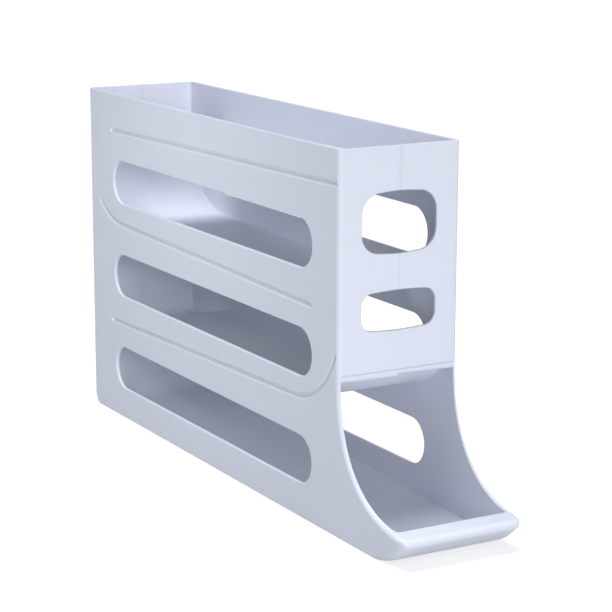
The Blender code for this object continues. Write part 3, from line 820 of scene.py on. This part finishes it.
def groove_routes(size):
    """Routes (y, z) of the grooves, at half the thickness of each ramp."""
    drop, front, back = size.wall / 2, size.front, size.back

    def bend(ramp, side, first, last):
        """Stretch round a scoop, between two angles counted from its lane face."""
        down = RIGHT * 3 + lane_lean(size, ramp)
        return arc(scoop_centre(size, ramp, side), size.scoop + drop, down + first,
                   down + last, BEND_STEPS)

    return [np.array([on_lane(size, size.top, front + size.top_groove[0], drop),
                      on_lane(size, size.top, back - size.top_groove[1], drop)]),
            np.vstack((on_lane(size, size.second, front + size.second_groove, drop),
                       bend(size.second, 1, 0, size.groove_swing))),
            np.vstack((bend(size.third, -1, -size.third_swing, 0),
                       on_lane(size, size.third, back - size.third_groove, drop)))]


def groove_cutter(size, route):
    """Groove in the side wall: depth D (1 - u^2)^1.5 at u + s (1 - u^2) half-widths from it.

    The skew s moves its deepest line upwards. At the ends the section shrinks by cos(a) while
    it runs on by sin(a) half-widths, which gives them round noses.
    """
    half = size.groove_width / 2
    u = np.cos(np.linspace(math.pi, 0, CORNER_STEPS * 2 + 1))
    depth = size.groove_depth * (1 - u * u) ** 1.5
    u = u + size.groove_skew * (1 - u * u)
    step = np.gradient(route, axis=0)
    step /= np.linalg.norm(step, axis=1, keepdims=True)
    a = np.linspace(0, GROOVE_NOSE, CORNER_STEPS)[1:]
    start = route[0] - step[0] * half * np.sin(a)[::-1, None]
    end = route[-1] + step[-1] * half * np.sin(a)[:, None]
    places = np.concatenate((start, route, end))
    along = np.concatenate((np.repeat(step[:1], len(a), 0), step, np.repeat(step[-1:], len(a), 0)))
    shrink = np.concatenate((np.cos(a)[::-1], np.ones(len(route)), np.cos(a)))[:, None]
    across = np.column_stack((-along[:, 1], along[:, 0]))
    u = np.concatenate((u, u[::-1]))
    lift = np.concatenate((-depth, np.full(len(depth), size.groove_depth)))
    x = size.half + size.hair + shrink * lift
    yz = places[:, None] + across[:, None] * (shrink * half * u)[:, :, None]
    return grid_solid("groove", np.concatenate((x[:, :, None], yz), axis=2))


def crossing_angles(first, first_radius, second, second_radius):
    """Angles, on each of two circles, of the crossing that lies on the side of the nose."""
    away = np.subtract(first, second)
    apart = math.hypot(*away)
    along = (apart ** 2 + second_radius ** 2 - first_radius ** 2) / (2 * apart)
    aside = math.sqrt(max(second_radius ** 2 - along ** 2, 0))
    place = second + (along * away + aside * np.array((-away[1], away[0]))) / apart
    return [math.atan2(*(place - centre)[::-1]) % TURN for centre in (first, second)]


def lip_core(size):
    """The cored-out inside of the rolled lip, a wall in from the nose and from the tray."""
    lip_y = size.lip_y
    tip, heel = nose_circles(size)
    lean = math.pi + size.nose_lean
    centre = (lip_y + size.floor_fillet, size.wall + size.floor_fillet)
    radius = size.floor_fillet + size.wall
    ends = crossing_angles(heel, size.heel - size.wall, centre, radius)
    outer = np.concatenate((
        arc(tip, size.tip - size.wall, RIGHT + size.lip_slope, lean, CORNER_STEPS),
        arc(heel, size.heel - size.wall, lean, ends[0] - CORE_BLUNTING, CORNER_STEPS)))
    top = outer[0, 1] + (lip_y - size.wall - outer[0, 0]) * math.tan(size.lip_slope)
    start = math.pi + math.asin((centre[1] - top) / radius)
    inner = arc(centre, radius, ends[1] - CORE_BLUNTING, start, CORNER_STEPS)
    return prism("lip_core", np.concatenate((outer, inner)), -size.wall,
                 size.half - size.corner - size.edge)


def half_mesh(size, strip):
    """A half shell on the right: its case block less every hollow, opening and groove.

    The bosses are round rods across the width that the hollows leave standing.
    """
    cutters = [groove_cutter(size, route) for route in groove_routes(size)]
    cutters += opening_cutters(size)
    outline = lane_outline(size, strip[0])
    tight, drift = strip_marks(size, outline, strip)
    hollows = (inner_solid("lanes", size, outline, size.fillet * LANE_FILLET, drift, tight),
               inner_solid("underfloor", size, underfloor_outline(size), 0, 0))
    bosses = [rod("boss", place, size.boss, -size.wall * 2, size.width)
              for place in boss_places(size)]
    cutters += [combine(hollow, bosses, 'DIFFERENCE') for hollow in hollows]
    cutters += [tray_solid(size), strip_line(size), lip_core(size), rim_flare(size)]
    return combine(case_block(size), cutters, 'DIFFERENCE')


# Joint between the half shells
def boss_places(size):
    """Middles (y, z) of the bosses: four under the lanes, two behind the scoops of the back."""
    places = []
    for ramp, share in zip((size.top, size.second, size.third, size.floor), size.boss_shares):
        y = size.front + (size.back - size.front) * share
        places.append((y, lane_height(size, ramp, y) - size.boss_hang))
    for ramp in (size.second, size.floor):
        centre = scoop_centre(size, ramp, 1)
        places.append(arc(centre, size.scoop + size.boss_hang, size.scoop_boss, 0, 1)[0])
    return places


def tongue_boxes(size, spare):
    """Corners (low, high) of the tongues in the walls' inner halves, grown by the spare."""
    margin = size.tongue_margin
    top = size.height - margin
    past_window = size.window_bow + margin
    past_scoop = size.scoop + size.wall + margin
    second, floor = [lane_height(size, ramp, scoop_centre(size, ramp, 1)[0])
                     for ramp in (size.second, size.floor)]
    near, far = size.wall / 2 - spare, size.wall - size.tongue_relief + spare
    front, back = (size.front + near, size.front + far), (size.back - far, size.back - near)
    spans = ((front, size.upper_window[1] + past_window, top),
             (front, size.lower_window[1] + past_window, size.upper_window[0] - past_window),
             (back, second + past_scoop, top), (back, floor + past_scoop, second))
    reach = size.tongue_reach
    return [((-reach, depth[0], low - spare), (reach + spare, depth[1], high + spare))
            for depth, low, high in spans]


def joint_tools(size, spare, low, high):
    """Tongues and pegs, all grown by the spare; the pegs run from one x to another."""
    return [*[block("tongue", *box) for box in tongue_boxes(size, spare)],
            *[rod("peg", place, size.peg + spare, low, high) for place in boss_places(size)]]


def finish_half(name, mesh, node, material):
    """Weld a half shell, shade it smooth between its edges and let it stand for its CAD node."""
    weld(mesh, WELD * 2)
    mesh.shade_smooth()
    mesh.set_sharp_from_angle(angle=SHARP_ANGLE)
    mesh.materials.clear()
    mesh.materials.append(material)
    item = add_object(name, mesh)
    item.data.name = name
    weighted = item.modifiers.new("even normals", 'WEIGHTED_NORMAL')
    weighted.keep_sharp = True
    weighted.weight = 100
    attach(item, "root")
    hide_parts(node)


# Finishes
def add_node(tree, kind, sockets=None, **attributes):
    """A shader node; each named socket takes a value or a link from another node's output."""
    node = tree.nodes.new("ShaderNode" + kind)
    for name, value in attributes.items():
        setattr(node, name, value)
    for name, value in (sockets or {}).items():
        if isinstance(value, bpy.types.NodeSocket):
            tree.links.new(value, node.inputs[name])
        else:
            node.inputs[name].default_value = value
    return node


def empty_tree(holder):
    """The node tree of a material or world, emptied."""
    holder.use_nodes = True
    holder.node_tree.nodes.clear()
    return holder.node_tree


def noise(tree, place, scale, detail):
    """Noise at a place, with so many features to the metre."""
    return add_node(tree, "TexNoise", {"Vector": place, "Scale": scale,
                                       "Detail": detail}).outputs["Fac"]


def math_step(tree, operation, *values):
    """The result of one sum on values or outputs."""
    return add_node(tree, "Math", dict(enumerate(values)),
                    operation=operation).outputs["Value"]


def fade(tree, value, start, end, low, high):
    """Runs smoothly from low where the value is start to high where it is end."""
    sockets = {"Value": value, "From Min": start, "From Max": end, "To Min": low,
               "To Max": high}
    return add_node(tree, "MapRange", sockets, interpolation_type='SMOOTHSTEP').outputs["Result"]


def blend(tree, share, first, second):
    """A colour that goes from the first to the second with the share."""
    return add_node(tree, "Mix", {"Factor": share, "A": first, "B": second},
                    data_type='RGBA').outputs["Result"]


def white_plastic(name, finish, offset):
    """White moulded plastic: faint ripple, soft drift of tone, uneven gloss.

    Along the joint at the rim, where both half shells sink a little, the tone is darkened softly:
    painted shade that stands in for the shade of that shallow sink.
    """
    material = bpy.data.materials.new(name)
    tree = empty_tree(material)
    place = add_node(tree, "TexCoord").outputs["Object"]
    moved = add_node(tree, "Mapping", {"Vector": place, "Location": offset}).outputs["Vector"]
    apart = add_node(tree, "SeparateXYZ", {"Vector": place}).outputs
    tone = blend(tree, noise(tree, moved, scale=9.0, detail=3.0),
                 (*finish.colour, 1), (*finish.shade, 1))
    # Painted shade: a soft dark band within the set width of the joint, from the set height up,
    # mixes the tone towards black
    painted_seam_shade = fade(tree, math_step(tree, 'ABSOLUTE', apart["X"]), finish.seam_shade_width, 0, 0,
                finish.seam_shade_tone)
    rise = fade(tree, apart["Z"], finish.seam_shade_foot, finish.seam_shade_foot + finish.seam_shade_width, 0, 1)
    shaded_tone = blend(tree, math_step(tree, 'MULTIPLY', painted_seam_shade, rise), tone, (0, 0, 0, 1))
    gloss = add_node(tree, "MapRange", {"Value": noise(tree, moved, scale=60.0, detail=4.0),
                                        "To Min": finish.roughness - finish.dull_drift,
                                        "To Max": finish.roughness + finish.dull_drift})
    ripple = noise(tree, moved, scale=1 / finish.grain, detail=2.0)
    bump = add_node(tree, "Bump", {"Height": ripple, "Strength": finish.ripple,
                                   "Distance": finish.ripple_height})
    shader = add_node(tree, "BsdfPrincipled", {
        "Base Color": shaded_tone, "Roughness": gloss.outputs["Result"],
        "Normal": bump.outputs["Normal"], "IOR": finish.index})
    add_node(tree, "OutputMaterial", {"Surface": shader.outputs["BSDF"]})
    return material


def seen_directly(tree):
    """1 for rays from the camera, from gloss or through glass, and 0 for other light."""
    path = add_node(tree, "LightPath").outputs
    first = math_step(tree, 'MAXIMUM', path["Is Camera Ray"], path["Is Glossy Ray"])
    return math_step(tree, 'MAXIMUM', first, path["Is Transmission Ray"])


def floor_finish(stage):
    """Pale matt floor that keeps shadows and is lifted to white where it is seen."""
    material = bpy.data.materials.new("floor")
    tree = empty_tree(material)
    matt = add_node(tree, "BsdfDiffuse", {"Color": (*stage.floor_colour, 1)})
    lift = math_step(tree, 'MULTIPLY', seen_directly(tree), stage.floor_lift)
    glow = add_node(tree, "Emission", {"Color": (1, 1, 1, 1), "Strength": lift})
    both = add_node(tree, "AddShader", {0: matt.outputs["BSDF"], 1: glow.outputs["Emission"]})
    add_node(tree, "OutputMaterial", {"Surface": both.outputs["Shader"]})
    return material


# Stage
def make_floor(stage):
    """Round floor: radius times (cos a, sin a) at height 0."""
    ring = arc((0, 0), FLOOR_RADIUS, 0, TURN, END_STEPS * 3)[:-1]
    points = np.column_stack((ring, np.zeros(len(ring))))
    mesh = bpy.data.meshes.new("floor")
    mesh.from_pydata(points, [], [list(range(len(points)))])
    mesh.materials.append(floor_finish(stage))
    add_object("floor", mesh)


def make_world(stage):
    """Even light from all round; seen directly the surroundings are white."""
    world = bpy.data.worlds.new("studio")
    bpy.context.scene.world = world
    tree = empty_tree(world)
    light = add_node(tree, "Background", {"Color": (*stage.world_colour, 1),
                                          "Strength": stage.world_strength})
    white = add_node(tree, "Background", {"Color": (1, 1, 1, 1), "Strength": 1.0})
    mix = add_node(tree, "MixShader", {"Fac": add_node(tree, "LightPath").outputs["Is Camera Ray"],
                                       1: light.outputs["Background"],
                                       2: white.outputs["Background"]})
    add_node(tree, "OutputWorld", {"Surface": mix.outputs["Shader"]})


def add_lamp(name, kind, place, direction, **settings):
    """A lamp of a kind at a place that shines along a direction."""
    lamp = bpy.data.lights.new(name, kind)
    lamp.color = LAMP_COLOUR
    for setting, value in settings.items():
        setattr(lamp, setting, value)
    item = add_object(name, lamp)
    way = np.array(direction) / np.linalg.norm(direction)
    item.location = place
    item.rotation_euler = (math.acos(-way[2]), 0, math.atan2(-way[0], way[1]))


def make_camera(stage):
    """Camera turned by yaw about the upright, tipped down by pitch and rolled."""
    camera = bpy.data.cameras.new("camera")
    camera.lens = stage.lens
    camera.sensor_width = 36.0
    camera.clip_start = 0.05
    camera.clip_end = 200.0
    item = add_object("camera", camera)
    turn = Matrix.Rotation(-stage.camera_yaw, 4, 'Z')
    tip = Matrix.Rotation(RIGHT - stage.camera_pitch, 4, 'X')
    roll = Matrix.Rotation(stage.camera_roll, 4, 'Z')
    item.matrix_world = Matrix.Translation(stage.camera_place) @ turn @ tip @ roll
    bpy.context.scene.camera = item


class DISPENSER_OT_half_shells(bpy.types.Operator):
    """Make both moulded half shells from the sizes in the panel"""

    bl_idname = "dispenser.half_shells"
    bl_label = "Make half shells"

    def execute(self, context):
        size, finish = context.scene.dispenser_shells, context.scene.dispenser_finish
        joint = joint_tools(size, 0, -size.peg_reach, size.peg_root)
        right = combine(half_mesh(size, size.right_strip), joint, 'UNION')
        # The left half is made on the right side too, and then mirrored
        room = joint_tools(size, size.play, -size.wall, size.peg_reach + size.play)
        left = combine(half_mesh(size, size.left_strip), room, 'DIFFERENCE')
        left.transform(Matrix.Scale(-1, 4, (1, 0, 0)))
        left.flip_normals()
        finish_half("left_half", left, "left_shell",
                    white_plastic("left plastic", finish, offset=(0.31, 0.12, 0.07)))
        finish_half("right_half", right, "right_shell",
                    white_plastic("right plastic", finish, offset=(0.0, 0.0, 0.0)))
        return {'FINISHED'}


class DISPENSER_OT_stage(bpy.types.Operator):
    """Make the floor, the lamps and the camera"""

    bl_idname = "dispenser.stage"
    bl_label = "Make stage"

    def execute(self, context):
        stage = context.scene.dispenser_stage
        make_floor(stage)
        make_world(stage)
        add_lamp("key", 'SUN', place=(0, 0, 1), direction=(0.12, -0.12, -1.0),
                 energy=stage.key_strength, angle=KEY_SOFTNESS)
        add_lamp("front light", 'SUN', place=(0, 0, 1), direction=(0.15, 0.97, -0.18),
                 energy=stage.front_strength, angle=FRONT_SOFTNESS)
        add_lamp("side lamp", 'AREA', place=(-0.28, 0.05, 0.26), direction=(0.24, 0.0, -0.13),
                 energy=stage.side_power, size=SOFTBOX_SIZE)
        add_lamp("front lamp", 'AREA', place=(-0.17, -0.52, 0.14), direction=(0.17, 0.39, -0.01),
                 energy=stage.front_power, size=SOFTBOX_SIZE)
        make_camera(stage)
        context.scene.view_settings.view_transform = 'Standard'
        return {'FINISHED'}


class DISPENSER_PT_panel(bpy.types.Panel):
    """Sidebar panel with the dispenser's sizes and operators"""

    bl_label = "Dispenser"
    bl_idname = "DISPENSER_PT_panel"
    bl_space_type = 'VIEW_3D'
    bl_region_type = 'UI'
    bl_category = "Dispenser"

    def draw(self, context):
        layout = self.layout
        for attribute, group in GROUPS.items():
            for part in group.__mro__:
                names = vars(part).get("__annotations__")
                if names:
                    box = layout.box()
                    box.label(text=part.__doc__)
                    for name in names:
                        box.prop(getattr(context.scene, attribute), name)
        for operator in OPERATORS:
            layout.operator(operator.bl_idname)


GROUPS = {
    "dispenser_shells": ShellSizes,
    "dispenser_finish": PlasticFinish,
    "dispenser_stage": StageSettings,
}
OPERATORS = (DISPENSER_OT_half_shells, DISPENSER_OT_stage)


def register():
    """Register the classes and hang the property groups on the scene."""
    for group in (*GROUPS.values(), *OPERATORS, DISPENSER_PT_panel):
        bpy.utils.register_class(group)
    for attribute, group in GROUPS.items():
        setattr(bpy.types.Scene, attribute, PointerProperty(type=group))


def unregister():
    """Take back what register did."""
    for attribute in GROUPS:
        delattr(bpy.types.Scene, attribute)
    for group in (DISPENSER_PT_panel, *reversed(OPERATORS), *reversed(list(GROUPS.values()))):
        bpy.utils.unregister_class(group)


def main():
    """Make every piece and the stage."""
    register()
    bpy.ops.dispenser.half_shells()
    bpy.ops.dispenser.stage()


if __name__ == "__main__":
    main()
